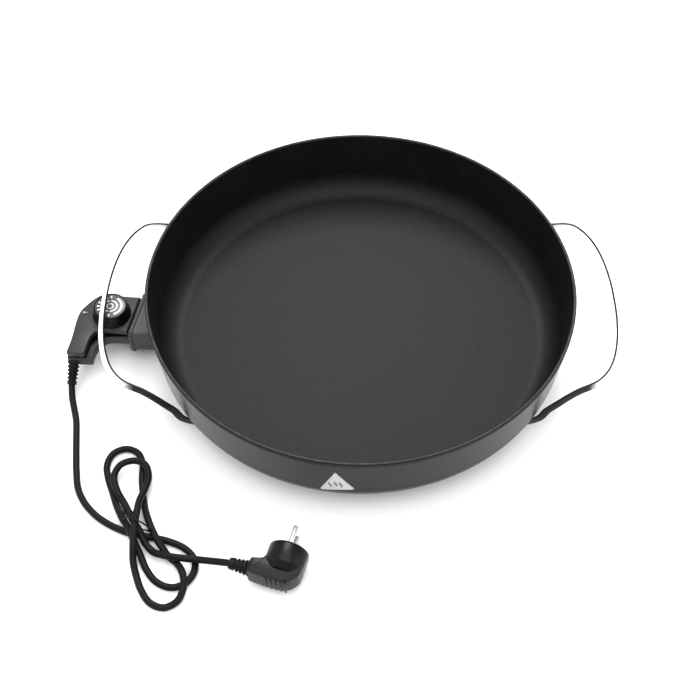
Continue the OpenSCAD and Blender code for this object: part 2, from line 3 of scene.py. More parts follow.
import bpy
import numpy as np
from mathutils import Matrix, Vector


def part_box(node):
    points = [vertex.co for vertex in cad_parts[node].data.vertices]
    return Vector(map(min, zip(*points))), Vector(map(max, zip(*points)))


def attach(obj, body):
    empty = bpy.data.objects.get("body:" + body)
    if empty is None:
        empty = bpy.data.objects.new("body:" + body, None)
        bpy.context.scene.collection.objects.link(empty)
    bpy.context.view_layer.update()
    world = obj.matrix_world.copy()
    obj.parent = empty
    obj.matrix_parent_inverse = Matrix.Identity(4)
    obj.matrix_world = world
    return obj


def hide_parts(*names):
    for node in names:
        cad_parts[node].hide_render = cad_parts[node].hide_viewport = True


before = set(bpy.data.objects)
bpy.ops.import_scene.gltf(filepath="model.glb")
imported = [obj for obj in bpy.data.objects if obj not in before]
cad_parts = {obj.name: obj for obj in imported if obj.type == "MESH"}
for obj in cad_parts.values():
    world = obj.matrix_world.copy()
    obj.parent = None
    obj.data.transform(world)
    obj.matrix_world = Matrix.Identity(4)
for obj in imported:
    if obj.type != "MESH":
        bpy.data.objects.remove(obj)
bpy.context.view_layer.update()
print("frame loaded")

# Where the CAD put the pan's and the knob's axes; everything below is in mm from the pan's axis
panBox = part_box("pan_shell")
panX = 500 * (panBox[0].x + panBox[1].x)
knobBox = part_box("knob")
knobX = 500 * (knobBox[0].x + knobBox[1].x) - panX


def toFrame(points):
    # mm from the pan's axis -> metres in the shared frame
    return (np.asarray(points, float) + [panX, 0, 0]) / 1000


# Camera
shot = {"distance": 1100, "height": 52.83, "turn": 0.0, "target": (-9.7, -27.5, 18), "lens": 58.66}
cameraData = bpy.data.cameras.new("camera")
cameraData.lens = shot["lens"]
cameraData.sensor_width = 36
cameraData.clip_start = 0.01
camera = bpy.data.objects.new("camera", cameraData)
bpy.context.scene.collection.objects.link(camera)
tilt, turn = math.radians(shot["height"]), math.radians(shot["turn"])
aim = toFrame(shot["target"])
back = np.array([-math.sin(turn) * math.cos(tilt), -math.cos(turn) * math.cos(tilt), math.sin(tilt)])
camera.location = aim + back * shot["distance"] / 1000
camera.rotation_euler = Vector(-back).to_track_quat("-Z", "Y").to_euler()
bpy.context.scene.camera = camera
print("camera placed")


# Mesh helpers
def makeMesh(name, points, faces, smoothAngle=35, uv=None, materialIndex=None):
    # points in mm from the pan's axis, faces as lists of indices
    mesh = bpy.data.meshes.new(name)
    mesh.from_pydata(toFrame(points).tolist(), [], faces)
    mesh.polygons.foreach_set("use_smooth", np.ones(len(mesh.polygons), bool))
    if materialIndex is not None:
        mesh.polygons.foreach_set("material_index", np.asarray(materialIndex, np.int32))
    if uv is not None:
        layer = mesh.uv_layers.new(name="UVMap")
        loops = np.zeros(len(mesh.loops), np.int32)
        mesh.loops.foreach_get("vertex_index", loops)
        layer.data.foreach_set("uv", np.asarray(uv, float)[loops].ravel())
    mesh.update()
    mesh.set_sharp_from_angle(angle=math.radians(smoothAngle))
    piece = bpy.data.objects.new(name, mesh)
    bpy.context.scene.collection.objects.link(piece)
    return piece


def gridPiece(grid):
    # a grid of rows whose columns close on themselves: quads between neighbours, capped at its first and last row
    rows, columns = grid.shape[:2]
    r, c = np.meshgrid(np.arange(rows - 1), np.arange(columns), indexing="ij")
    r2, c2 = r + 1, (c + 1) % columns
    quads = np.stack([r * columns + c, r * columns + c2, r2 * columns + c2, r2 * columns + c], -1)
    faces = quads.reshape(-1, 4).tolist()
    faces.append(np.arange(columns)[::-1].tolist())
    faces.append((np.arange(columns) + (rows - 1) * columns).tolist())
    return grid.reshape(-1, 3), faces


def outward(points, faces):
    # turns every face round if the closed shape's volume comes out negative
    p = np.asarray(points, float)
    volume = 0.0
    quads = np.array([f for f in faces if len(f) == 4])
    if len(quads):
        a, b, c, d = (p[quads[:, k]] for k in range(4))
        volume += np.einsum("ij,ij->i", a, np.cross(b, c) + np.cross(c, d)).sum()
    for f in faces:
        if len(f) != 4:
            q = p[f]
            volume += np.einsum("ij,ij->i", np.broadcast_to(q[0], q[1:-1].shape), np.cross(q[1:-1], q[2:])).sum()
    return faces if volume > 0 else [list(f)[::-1] for f in faces]


class Shape:
    # several closed parts gathered into one piece
    def __init__(self):
        self.points, self.faces, self.marks, self.count = [], [], [], 0

    def add(self, points, faces, mark=0):
        faces = outward(points, faces)
        self.faces += [[i + self.count for i in f] for f in faces]
        self.marks += list(mark) if hasattr(mark, "__len__") else [mark] * len(faces)
        self.points.append(np.asarray(points, float).reshape(-1, 3))
        self.count += len(self.points[-1])
        return self

    def piece(self, name, body, materials, replaces=(), smoothAngle=35, slot=None):
        made = makeMesh(name, np.concatenate(self.points), self.faces, smoothAngle, materialIndex=self.marks)
        return finishPiece(made, body, materials, replaces)


def finishPiece(piece, body, materials, replaces=()):
    # gives the piece its materials and body, and the CAD nodes that it stands in for
    for m in (materials if isinstance(materials, (list, tuple)) else [materials]):
        piece.data.materials.append(m)
    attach(piece, body)
    if replaces:
        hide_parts(*replaces)
    return piece


def arc(cx, cz, radius, start, end, steps):
    # points on a circle between two angles in degrees
    a = np.radians(np.linspace(start, end, steps))
    return np.stack([cx + radius * np.cos(a), cz + radius * np.sin(a)], -1)


def lathe(profile, sides=96, centre=(0, 0, 0), axis=(0, 0, 1), side=(1, 0, 0)):
    # radius and height pairs turned round an axis: centre + r cos(a) side + r sin(a) other + h axis
    profile = np.asarray(profile, float)
    a = np.arange(sides) * 2 * np.pi / sides
    axis = np.asarray(axis, float) / np.linalg.norm(axis)
    side = np.asarray(side, float) - np.dot(side, axis) * axis
    side /= np.linalg.norm(side)
    other = np.cross(axis, side)
    ring = np.cos(a)[:, None] * side + np.sin(a)[:, None] * other
    grid = np.asarray(centre, float) + profile[:, 0, None, None] * ring + profile[:, 1, None, None] * axis
    return grid


def smoothPath(rows, steps):
    # a Catmull-Rom curve through every row, in all of its columns at once
    rows = np.asarray(rows, float)
    full = np.concatenate([[2 * rows[0] - rows[1]], rows, [2 * rows[-1] - rows[-2]]])
    t = (np.arange(steps) / steps)[None, :, None]
    a, b, c, d = (full[k:len(full) - 3 + k, None, :] for k in range(4))
    curve = 0.5 * (2 * b + (c - a) * t + (2 * a - 5 * b + 4 * c - d) * t ** 2 + (3 * b - a - 3 * c + d) * t ** 3)
    return np.concatenate([curve.reshape(-1, rows.shape[1]), rows[-1:]])


def tangents(path):
    # unit directions along an open path, from each point's two neighbours
    ahead = np.roll(path, -1, 0) - np.roll(path, 1, 0)
    ahead[0], ahead[-1] = path[1] - path[0], path[-1] - path[-2]
    return ahead / np.linalg.norm(ahead, axis=1)[:, None]


def tubeGrid(path, radius, sides=16):
    # rings square to the path, kept level by the vertical: p + r cos(a) s + r sin(a) u
    t = tangents(path)
    s = np.cross(t, [0, 0, 1.0])
    s /= np.linalg.norm(s, axis=1)[:, None]
    u = np.cross(s, t)
    a = np.arange(sides) * 2 * np.pi / sides
    r = np.broadcast_to(np.asarray(radius, float), (len(path),))[:, None, None]
    around = np.cos(a)[None, :, None] * s[:, None, :] + np.sin(a)[None, :, None] * u[:, None, :]
    return path[:, None, :] + r * around


def roundCorners(outline, radius, steps=5):
    # each corner becomes a quadratic curve between points one radius away along its two edges
    p = np.asarray(outline, float)
    before, after = np.roll(p, 1, 0), np.roll(p, -1, 0)
    inLength = np.linalg.norm(before - p, axis=1)[:, None]
    outLength = np.linalg.norm(after - p, axis=1)[:, None]
    r = np.broadcast_to(np.asarray(radius, float), (len(p),))[:, None]
    start = p + (before - p) / inLength * np.minimum(r, 0.46 * inLength)
    end = p + (after - p) / outLength * np.minimum(r, 0.46 * outLength)
    t = np.linspace(0, 1, steps)[None, :, None]
    return ((1 - t) ** 2 * start[:, None] + 2 * t * (1 - t) * p[:, None] + t ** 2 * end[:, None]).reshape(-1, 2)


def insetOutline(outline, inset):
    # moves each point along the mean of its edges' inward normals
    ahead = np.roll(outline, -1, 0) - np.roll(outline, 1, 0)
    ahead /= np.linalg.norm(ahead, axis=1)[:, None] + 1e-9
    area = 0.5 * np.sum(outline[:, 0] * np.roll(outline[:, 1], -1) - np.roll(outline[:, 0], -1) * outline[:, 1])
    inward = np.stack([-ahead[:, 1], ahead[:, 0]], -1) * np.sign(area)
    return outline + inward * inset


def stacked(outline, levels):
    # the outline repeated at each level's height, moved in by its inset
    return np.stack([np.concatenate([insetOutline(outline, inset), np.full((len(outline), 1), z)], 1)
                     for inset, z in levels])


def bevelLevels(low, high, radius, steps=4, lowRadius=None):
    # inset and height pairs for rounded bottom and top edges
    lowRadius = radius if lowRadius is None else lowRadius
    a = np.radians(np.linspace(0, 90, steps))
    bottom = [(lowRadius * (1 - math.sin(x)), low + lowRadius * (1 - math.cos(x))) for x in a]
    top = [(radius * (1 - math.cos(x)), high - radius * (1 - math.sin(x))) for x in a]
    return bottom + top


# Shader helpers
class Wire:
    # a node's output on which sums can be written
    def __init__(self, paint, socket):
        self.paint, self.socket = paint, socket

    def __add__(self, other): return self.paint.math("ADD", self, other)
    def __radd__(self, other): return self.paint.math("ADD", other, self)
    def __sub__(self, other): return self.paint.math("SUBTRACT", self, other)
    def __rsub__(self, other): return self.paint.math("SUBTRACT", other, self)
    def __mul__(self, other): return self.paint.math("MULTIPLY", self, other)
    def __rmul__(self, other): return self.paint.math("MULTIPLY", other, self)
    def __pow__(self, other): return self.paint.math("POWER", self, other)


class Paint:
    # one material, with its Principled shader ready
    def __init__(self, name, **constants):
        self.material = bpy.data.materials.new(name)
        self.material.use_nodes = True
        self.tree = self.material.node_tree
        self.tree.nodes.clear()
        self.output = self.tree.nodes.new("ShaderNodeOutputMaterial")
        self.shader = self.tree.nodes.new("ShaderNodeBsdfPrincipled")
        self.tree.links.new(self.shader.outputs[0], self.output.inputs[0])
        for key, value in constants.items():
            self.shader.inputs[key].default_value = value

    def put(self, socket, value):
        if isinstance(value, Wire):
            self.tree.links.new(value.socket, socket)
        else:
            socket.default_value = value

    def node(self, kind, settings=None, values=None, out=0):
        made = self.tree.nodes.new(kind)
        for key, value in (settings or {}).items():
            setattr(made, key, value)
        for key, value in (values or {}).items():
            self.put(made.inputs[key], value)
        return Wire(self, made.outputs[out])

    def math(self, kind, a, b=None):
        values = {0: a} if b is None else {0: a, 1: b}
        return self.node("ShaderNodeMath", {"operation": kind}, values)

    def place(self, centre=(0, 0, 0), scale=(1, 1, 1)):
        # object coordinates in mm, moved so that centre (mm from the pan's axis) is the pattern's middle
        source = self.node("ShaderNodeTexCoord", out=3)
        at = toFrame(centre)
        moved = self.node("ShaderNodeVectorMath", {"operation": "SUBTRACT"}, {0: source, 1: tuple(at)})
        return self.node("ShaderNodeMapping", {"vector_type": "POINT"},
                         {0: moved, 3: tuple(1000 * x for x in scale)})

    def noise(self, where, size, detail=3.0, roughness=0.5):
        # size is the pattern's grain in mm
        return self.node("ShaderNodeTexNoise", None,
                         {"Vector": where, "Scale": 1 / size, "Detail": detail, "Roughness": roughness})

    def step(self, value, low, high):
        return self.node("ShaderNodeMapRange", {"clamp": True, "interpolation_type": "SMOOTHSTEP"},
                         {0: value, 1: low, 2: high, 3: 0.0, 4: 1.0})

    def between(self, value, low, high, soft=0.12):
        # 1 from low to high, fading to 0 over twice the soft width at each end
        return self.step(value, low - soft, low + soft) * (1 - self.step(value, high - soft, high + soft))

    def blend(self, factor, a, b):
        made = self.tree.nodes.new("ShaderNodeMix")
        made.data_type = "RGBA"
        for index, value in ((0, factor), (6, a), (7, b)):
            self.put(made.inputs[index], value if isinstance(value, Wire) or index == 0 else (*value, 1))
        return Wire(self, made.outputs[2])

    def bump(self, height, strength, distance):
        # distance in mm
        return self.node("ShaderNodeBump", None,
                         {"Strength": strength, "Distance": distance / 1000, "Height": height})

    def split(self, vector):
        made = self.tree.nodes.new("ShaderNodeSeparateXYZ")
        self.put(made.inputs[0], vector)
        return [Wire(self, made.outputs[k]) for k in range(3)]

    def finish(self, **links):
        for key, value in links.items():
            self.put(self.shader.inputs[key.replace("_", " ")], value)
        return self.material


def makeMoulding(name, dark, light, roughness, grain=0.35, bump=0.25, shine=0.3):
    # moulded plastic: fine spark-eroded grain, slow colour drift and scuffs
    paint = Paint(name, **{"Specular IOR Level": shine})
    where = paint.place()
    drift = paint.noise(where, 18, 4)
    fine = paint.noise(where, grain, 2)
    scuff = paint.step(paint.noise(where, 5, 6, 0.7), 0.55, 0.75)
    colour = paint.blend(drift * 0.7 + fine * 0.3, dark, light)
    return paint.finish(Base_Color=colour, Roughness=roughness - 0.06 + drift * 0.08 + scuff * 0.05,
                        Normal=paint.bump(fine + drift * 0.2, bump, 0.03))


def makeSteel(name, dark, light, roughness=0.28, grain=1.2, along=(1, 0.06, 0.06)):
    # plain steel: long brushing lines and faint stains
    paint = Paint(name, Metallic=1.0)
    where = paint.place(scale=along)
    lines = paint.noise(where, grain, 4, 0.65)
    stain = paint.noise(paint.place(), 9, 4)
    return paint.finish(Base_Color=paint.blend(stain * 0.6 + lines * 0.4, dark, light),
                        Roughness=roughness + lines * 0.14 + stain * 0.06,
                        Normal=paint.bump(lines, 0.12, 0.02))


# Lead
lead = {"diameter": 6.2, "sides": 20, "steps": 9, "rest": 3.15, "boot": 26}
bootAt = np.array([-33, -42, 25.2])
bootDir = np.array([-0.08, -0.83, -0.55]) / np.linalg.norm([-0.08, -0.83, -0.55])
leadRows = [[-33.8, -75, 6.4], [-30.8, -86, 4], [-27.2, -99, 3.2], [-24.6, -116, 3.2], [-22, -135, 3.2],
            [-19, -154, 3.2], [-15, -172, 3.2], [-7, -187, 3.2], [5, -200, 3.2], [20, -210, 3.2], [36, -217, 3.2],
            [54, -221, 3.2], [71, -225, 3.2], [86, -232, 3.2], [95.5, -243, 3.2], [95.5, -256, 3.2], [88, -266, 3.2],
            [76, -268.5, 3.2], [64, -263, 3.2], [55, -252, 3.2], [49, -240, 4.4], [43, -229, 8], [37, -217, 9.8],
            [29, -204, 7], [22, -190, 4], [16.5, -176, 3.2], [11, -162, 3.2], [8, -148.5, 3.2], [12, -136, 3.2],
            [23.5, -130.5, 3.2], [35, -135.5, 3.2], [40.5, -148, 3.2], [41.5, -163, 3.2], [44, -178, 3.2],
            [47, -191, 4.4],
            [51, -203, 7.6], [57, -217, 9.9], [64, -229, 8.4], [73, -240, 4], [80.5, -247, 5], [86.8, -257.5, 9.7],
            [89.3, -269.5, 9.7], [85, -281, 4.8], [73.5, -287, 3.2], [61, -282.5, 3.2], [52, -270, 3.2],
            [46, -255, 3.3],
            [43.5, -246, 6.8], [43, -236, 12], [43, -226, 15.8], [43, -214, 16.8], [43, -202, 15], [43.5, -189, 12],
            [46.5, -177, 10], [48.5, -164, 9.8], [44, -151.5, 9.8], [33, -147.2, 9.8], [21.5, -152, 9.8],
            [17.5, -164.5, 9.8], [22, -178.5, 9.6], [29.5, -190, 6.6], [37, -203, 5.6], [45.5, -217, 9.8],
            [51.5, -228, 7], [59, -236.5, 6.4], [69, -242, 10.2], [80, -244.5, 11.2], [92, -246, 11], [105, -248, 12.6]]
plug = {"turn": -16.7, "face": (178.3, -241.5, 18.2), "diameter": 36, "depth": 19, "bend": -26, "neck": 27, "tail": 45,
        "gripRibs": 5, "gripPitch": 4.4}
turnCos, turnSin = math.cos(math.radians(plug["turn"])), math.sin(math.radians(plug["turn"]))


def atPlug(points):
    # from the plug's own axes (x along its side, y out of its face) to mm from the pan's axis
    p = np.asarray(points, float)
    x = p[..., 0] * turnCos - p[..., 1] * turnSin + plug["face"][0] + knobX
    y = p[..., 0] * turnSin + p[..., 1] * turnCos + plug["face"][1]
    return np.stack([x, y, p[..., 2] + plug["face"][2]], -1)


bootTip = bootAt + lead["boot"] * bootDir + [knobX, 0, 0]
plugTip = atPlug([-plug["tail"], plug["bend"], 0])
route = np.concatenate([[bootTip], np.array(leadRows, float) + [knobX, 0, 0], [plugTip]])
leadPath = smoothPath(route, lead["steps"])
leadPath[:, 2] = np.maximum(leadPath[:, 2], lead["rest"])
leadPoints, leadFaces = gridPiece(tubeGrid(leadPath, lead["diameter"] / 2, lead["sides"]))
leadLength = np.linalg.norm(np.diff(leadPath, axis=0), axis=1)
around = np.tile(np.arange(lead["sides"]) / lead["sides"], len(leadPath))
downLead = np.repeat(np.concatenate([[0], np.cumsum(leadLength)]) / 1000, lead["sides"])
leadPiece = makeMesh("lead", leadPoints, outward(leadPoints, leadFaces), uv=np.stack([around, downLead], -1))


def makeSheath(name, dark, light):
    # lead sheath: faint lengthwise flow lines, dust and a soft waxy sheen
    paint = Paint(name, **{"Specular IOR Level": 0.12})
    where = paint.place()
    fine = paint.noise(where, 0.5, 3)
    dust = paint.step(paint.noise(where, 7, 5, 0.65), 0.5, 0.8)
    colour = paint.blend(dust * 0.35 + fine * 0.2, dark, light)
    return paint.finish(Base_Color=colour, Roughness=0.42 + fine * 0.12 + dust * 0.1,
                        Normal=paint.bump(fine, 0.15, 0.03))


sheath = makeSheath("leadSheath", (0.002, 0.002, 0.0021), (0.012, 0.012, 0.0125))
finishPiece(leadPiece, "controller", sheath, ["cord"])
print("lead made,", round(float(leadLength.sum())), "mm long")


# Pan
pan = {"rimR": 200, "rimH": 88, "lift": 16, "floor": 5, "wall": 3, "lean": 4.5, "corner": 24, "sides": 288,
       "ringR": 115, "ringW": 16, "ringLow": 5}
wallR = pan["rimR"] - pan["lean"]
cornerZ = pan["lift"] + pan["corner"]
flatR = wallR - pan["corner"]


def panOutR(z):
    # outside radius at a height: the corner's circle, then the straight wall
    z = np.asarray(z, float)
    rounded = flatR + np.sqrt(np.maximum(0, pan["corner"] ** 2 - (cornerZ - np.clip(z, pan["lift"], cornerZ)) ** 2))
    straight = wallR + pan["lean"] * (z - cornerZ) / (pan["rimH"] - cornerZ)
    return np.where(z >= cornerZ, straight, rounded)


def panOutZ(r):
    # height of the underside at a radius
    return cornerZ - np.sqrt(np.maximum(0, pan["corner"] ** 2 - np.maximum(0, r - flatR) ** 2))


def makePanProfile():
    # underside with its ring, corner, wall, rim, inner wall, inner corner and floor, with each stretch's finish
    w, ringIn, ringOut = pan["wall"], pan["ringR"] - pan["ringW"] / 2, pan["ringR"] + pan["ringW"] / 2
    low, lift = pan["ringLow"], pan["lift"]
    under = np.array([[2, lift], [60, lift], [ringIn - 1.5, lift], [ringIn - 0.4, lift - 0.4], [ringIn, lift - 1.6],
                      [ringIn, low + 1.2], [ringIn + 0.4, low + 0.3], [ringIn + 1.3, low], [ringOut - 1.3, low],
                      [ringOut - 0.4, low + 0.3], [ringOut, low + 1.2], [ringOut, lift - 1.6],
                      [ringOut + 0.4, lift - 0.4], [ringOut + 1.5, lift], [145, lift]])
    outer = arc(flatR, cornerZ, pan["corner"], -90, 0, 22)
    wall = np.stack([np.linspace(wallR, pan["rimR"], 14)[1:], np.linspace(cornerZ, pan["rimH"] - w / 2, 14)[1:]], -1)
    rim = arc(pan["rimR"] - w / 2, pan["rimH"] - w / 2, w / 2, 0, 180, 13)[1:]
    floorZ = lift + pan["floor"]
    innerR = pan["corner"] - 2
    topR = pan["rimR"] - w - pan["lean"] * (pan["rimH"] - floorZ - innerR) / (pan["rimH"] - cornerZ)
    inner = np.stack([np.linspace(pan["rimR"] - w, topR, 12)[1:-1],
                      np.linspace(pan["rimH"] - w / 2, floorZ + innerR, 12)[1:-1]], -1)
    fillet = arc(topR - innerR, floorZ + innerR, innerR, 0, -90, 24)
    floor = np.array([[130, floorZ], [90, floorZ], [50, floorZ], [2, floorZ]])
    parts = [(under, 3), (outer, 1), (wall[:-1], 1), (wall[-1:], 0), (rim[:4], 0), (rim[4:], 2), (inner, 0),
             (fillet, 0), (floor, 0)]
    return np.concatenate([p for p, _ in parts]), np.concatenate([np.full(len(p), mark) for p, mark in parts])


def makeCoating():
    # non-stick inside: near black, with fine mineral speckle that catches the light and a slightly rippled spray
    paint = Paint("nonStickCoating", **{"Specular IOR Level": 0.15})
    where = paint.place()
    speck = paint.step(paint.noise(where, 0.95, 2, 0.6), 0.6, 0.7)
    fine = paint.noise(where, 0.5, 3, 0.7)
    cloud = paint.noise(where, 45, 4)
    spray = paint.noise(where, 1.6, 3)
    colour = paint.blend(speck * 0.55 + cloud * 0.12, (0.0012, 0.0013, 0.0013), (0.04, 0.0415, 0.041))
    return paint.finish(Base_Color=colour, Roughness=0.46 + cloud * 0.06 + fine * 0.05 - speck * 0.06,
                        Normal=paint.bump(fine * 0.6 + spray * 0.6, 0.32, 0.05))


def makeLacquer():
    # outside: dark satin lacquer over turned aluminium, faint turning lines round the wall
    paint = Paint("satinLacquer", **{"Specular IOR Level": 0.12})
    where = paint.place(scale=(0.05, 0.05, 1))
    turned = paint.noise(where, 0.9, 3)
    drift = paint.noise(paint.place(), 30, 4)
    colour = paint.blend(drift, (0.002, 0.0022, 0.0023), (0.0045, 0.0048, 0.0049))
    return paint.finish(Base_Color=colour, Roughness=0.2 + drift * 0.06 + turned * 0.06,
                        Normal=paint.bump(turned, 0.08, 0.02))


def makeRimEdge():
    # the rim's turned edge, thinly lacquered, with bright wear
    paint = Paint("rimEdge", **{"Specular IOR Level": 0.15})
    where = paint.place()
    wear = paint.step(paint.noise(where, 6, 5, 0.7), 0.4, 0.7)
    fine = paint.noise(where, 0.8, 3)
    colour = paint.blend(wear * 0.8 + fine * 0.2, (0.012, 0.0124, 0.0124), (0.04, 0.041, 0.041))
    return paint.finish(Base_Color=colour, Roughness=0.3 + fine * 0.1, Metallic=0.02 + wear * 0.06,
                        Normal=paint.bump(fine, 0.1, 0.02))


def makeCastUnder():
    # cast underside: dull grey, sandy skin
    paint = Paint("castUnderside", Metallic=0.4)
    where = paint.place()
    sand = paint.noise(where, 0.9, 4, 0.7)
    drift = paint.noise(where, 25, 4)
    colour = paint.blend(drift * 0.6 + sand * 0.4, (0.035, 0.036, 0.036), (0.085, 0.086, 0.086))
    return paint.finish(Base_Color=colour, Roughness=0.55 + sand * 0.15, Normal=paint.bump(sand, 0.4, 0.08))


coating, lacquer, rimEdge, castUnder = makeCoating(), makeLacquer(), makeRimEdge(), makeCastUnder()
profile, profileMarks = makePanProfile()
bowl = Shape()
bowlPoints, bowlFaces = gridPiece(lathe(profile, pan["sides"]))
bowlMarks = np.concatenate([np.repeat(profileMarks[1:], pan["sides"]), [3, 0]])
bowl.add(bowlPoints, bowlFaces, bowlMarks)


def makeTerminalBoss():
    # the cast tongue that holds the element's ends: a rounded section carried along X, its top just inside the pan
    xs = -np.concatenate([[116, 117], np.linspace(120, 184, 17), [185.4, 186]])
    shrink = np.concatenate([[1.2, 0.3], np.zeros(17), [0.4, 1.4]])[:, None]
    top = (panOutZ(np.abs(xs)) + 1.4)[:, None]
    half, low = 16.0, 5.0
    corner = arc(0, 0, 2, 180, 270, 6)
    y = np.concatenate([corner[:, 0] - half + 2, -corner[::-1, 0] + half - 2, [half, -half]])
    zLow = np.concatenate([corner[:, 1], corner[::-1, 1]]) + low + 2
    z = np.concatenate([np.broadcast_to(zLow, (len(xs), len(zLow))), top, top], 1)
    y = np.broadcast_to(y, z.shape) * (1 - shrink / half)
    z = z + shrink * np.where(z < low + 2, 1, 0)
    return np.stack([np.broadcast_to(xs[:, None], z.shape), y, z], -1)


bowl.add(*gridPiece(makeTerminalBoss()), mark=3)
foot = {"r": 146, "angle": 36, "d": 24}
footX, footY = foot["r"] * math.cos(math.radians(foot["angle"])), foot["r"] * math.sin(math.radians(foot["angle"]))
for sx in (-1, 1):
    for sy in (-1, 1):
        bossProfile = [[2.2, 13], [9.2, 13], [10, 13.7], [10.4, 16.4], [2.2, 16.4]]
        bowl.add(*gridPiece(lathe(bossProfile, 40, (sx * footX, sy * footY, 0))), mark=3)
bowl.piece("panBody", "pan", [coating, lacquer, rimEdge, castUnder], ["pan_shell"], 40, "pan_coating")
print("pan made")


# Handles
darkSides = [0, 1, 2, 3, 15, 16, 17, 18, 19]       # the narrow upper edge of the strip's section
handle = {"width": 8, "thick": 2, "edge": 0.55, "steps": 7,
          "rows": [[145, -105.5, 14.5, -83, 4], [151, -109, 18.5, -83, 4], [160.3, -111.7, 28.5, -83, 5],
                   [166, -110.8, 39, -83, 5], [176, -108.5, 47.5, -80, 5], [186, -105, 53.5, -76, 5],
                   [196, -101.5, 58, -74, 6], [205, -99, 61, -71, 8], [213, -95.5, 62.6, -60, 14],
                   [220, -89, 62.5, -47, 22], [226, -80.5, 62.1, -35, 30], [231, -69.5, 62, -24, 36],
                   [235, -56, 62, -15, 40], [238, -40, 62, -9, 42], [240, -20, 62, -4, 42], [240.5, 0, 62, 0, 42]]}


def makeStrip(mirror):
    # a rounded strip section carried along the upper edge; its face turns with bearing and lean
    front = np.array(handle["rows"], float)
    backHalf = front[-2::-1] * [1, -1, 1, -1, 1]
    rows = smoothPath(np.concatenate([front, backHalf]), handle["steps"])
    path, bearing, lean = rows[:, :3], np.radians(rows[:, 3]), np.radians(rows[:, 4])
    t = tangents(path)
    face = np.stack([np.cos(bearing) * np.cos(lean), np.sin(bearing) * np.cos(lean), np.sin(lean)], -1)
    face -= np.sum(face * t, 1)[:, None] * t
    face /= np.linalg.norm(face, axis=1)[:, None]
    wide = np.cross(t, face)
    e, w, h = handle["edge"], handle["width"], handle["thick"] / 2
    corners = [arc(e, h - e, e, 180, 90, 5), arc(w - e, h - e, e, 90, 0, 5),
               arc(w - e, -h + e, e, 0, -90, 5), arc(e, -h + e, e, -90, -180, 5)]
    section = np.concatenate(corners)
    grid = path[:, None] + section[None, :, 0, None] * wide[:, None] + section[None, :, 1, None] * face[:, None]
    if mirror:
        grid = grid * [-1, 1, 1]
    marks = np.zeros((grid.shape[0] - 1, len(section)), int)
    marks[:, darkSides] = 1                          # the upper edge is painted dark
    return grid, np.concatenate([marks.ravel(), [1, 1]])


def makeChrome():
    # polished strip: near-mirror with faint draw lines along it and a few fingermarks
    paint = Paint("brightStrip", **{"Specular IOR Level": 0.12})
    where = paint.place()
    smear = paint.step(paint.noise(where, 14, 5, 0.6), 0.5, 0.75)
    lines = paint.noise(paint.place(scale=(0.7, 0.08, 1)), 0.5, 3)
    colour = paint.blend(smear * 0.5, (0.80, 0.81, 0.82), (0.70, 0.71, 0.72))
    x, y, _ = paint.split(paint.place())
    reach = paint.math("ABSOLUTE", x) + 8 * paint.noise(paint.place(scale=(1, 0.3, 1)), 6, 3)
    # the front legs are painted dark in place of a dark surround's reflection; take darkLegs out for other light
    darkLegs = (1 - paint.step(reach, 208, 222)) * (1 - paint.step(y, -60, -30))
    colour = paint.blend(darkLegs, colour, (0.003, 0.003, 0.0031))
    return paint.finish(Base_Color=colour, Metallic=1 - darkLegs,
                        Roughness=0.07 + smear * 0.08 + lines * 0.05 + darkLegs * 0.2,
                        Normal=paint.bump(lines, 0.05, 0.01))


def makeDarkEdge():
    # painted reflection: the strip's upper edge and ends are coloured dark with brushing lines, standing in for a dark
    # surround's reflection
    paint = Paint("paintedReflectionEdge", **{"Specular IOR Level": 0.2})
    where = paint.place()
    lines = paint.noise(where, 0.7, 3)
    drift = paint.noise(where, 9, 4)
    colour = paint.blend(drift * 0.6 + lines * 0.4, (0.002, 0.002, 0.002), (0.008, 0.008, 0.0082))
    return paint.finish(Base_Color=colour, Roughness=0.32 + lines * 0.12, Normal=paint.bump(lines, 0.1, 0.02))


chrome, darkEdge = makeChrome(), makeDarkEdge()
for name, node, mirror in (("handleLeft", "handle_left", True), ("handleRight", "handle_right", False)):
    stripGrid, stripMarks = makeStrip(mirror)
    strip = Shape().add(*gridPiece(stripGrid), stripMarks)
    strip.piece(name, "pan", [chrome, darkEdge], [node], 50, "handle_chrome")
print("handles made")


# Inlet guard
guard = {"half": 26, "top": 40, "low": 12, "wall": 2, "face": -216, "skew": 5, "rib": 2.5}


def guardFace(y):
    # the outer end runs askew: further out at the front
    return guard["face"] + guard["skew"] * y / guard["half"]


def panFace(u):
    # where points in Y and Z meet the pan's wall on the controller's side, just inside it
    return -np.sqrt(panOutR(u[:, 1]) ** 2 - u[:, 0] ** 2) + 0.4


def makeGuardPath(half, top, low, radius):
    # an upside-down U in Y and Z with round shoulders and feet turned slightly in
    left = np.array([[-half + 4.5, low], [-half, low + 4.5]])
    shoulder = arc(-half + radius, top - radius, radius, 180, 90, 9)
    right = np.concatenate([left, shoulder]) * [-1, 1]
    return np.concatenate([left, shoulder, right[::-1]])


def makeGuard():
    # the U's wall between its face and the pan, as one closed band with a rounded front edge
    outer = makeGuardPath(guard["half"], guard["top"], guard["low"], 4)
    inner = makeGuardPath(guard["half"] - guard["wall"], guard["top"] - guard["wall"], guard["low"], 2.4)
    outerFace, innerFace = guardFace(outer[:, 0]), guardFace(inner[:, 0])
    outerPan, innerPan = panFace(outer), panFace(inner)
    rows = [(outer, outerFace + 0.8), (outer, outerFace + 4), (outer, 0.5 * outerFace + 0.5 * outerPan),
            (outer, outerPan), (inner, innerPan), (inner, innerFace + 4), (inner, innerFace + 0.8),
            (0.5 * (inner + outer), outerFace)]
    return np.stack([np.concatenate([x[:, None], u], 1) for u, x in rows], 1)


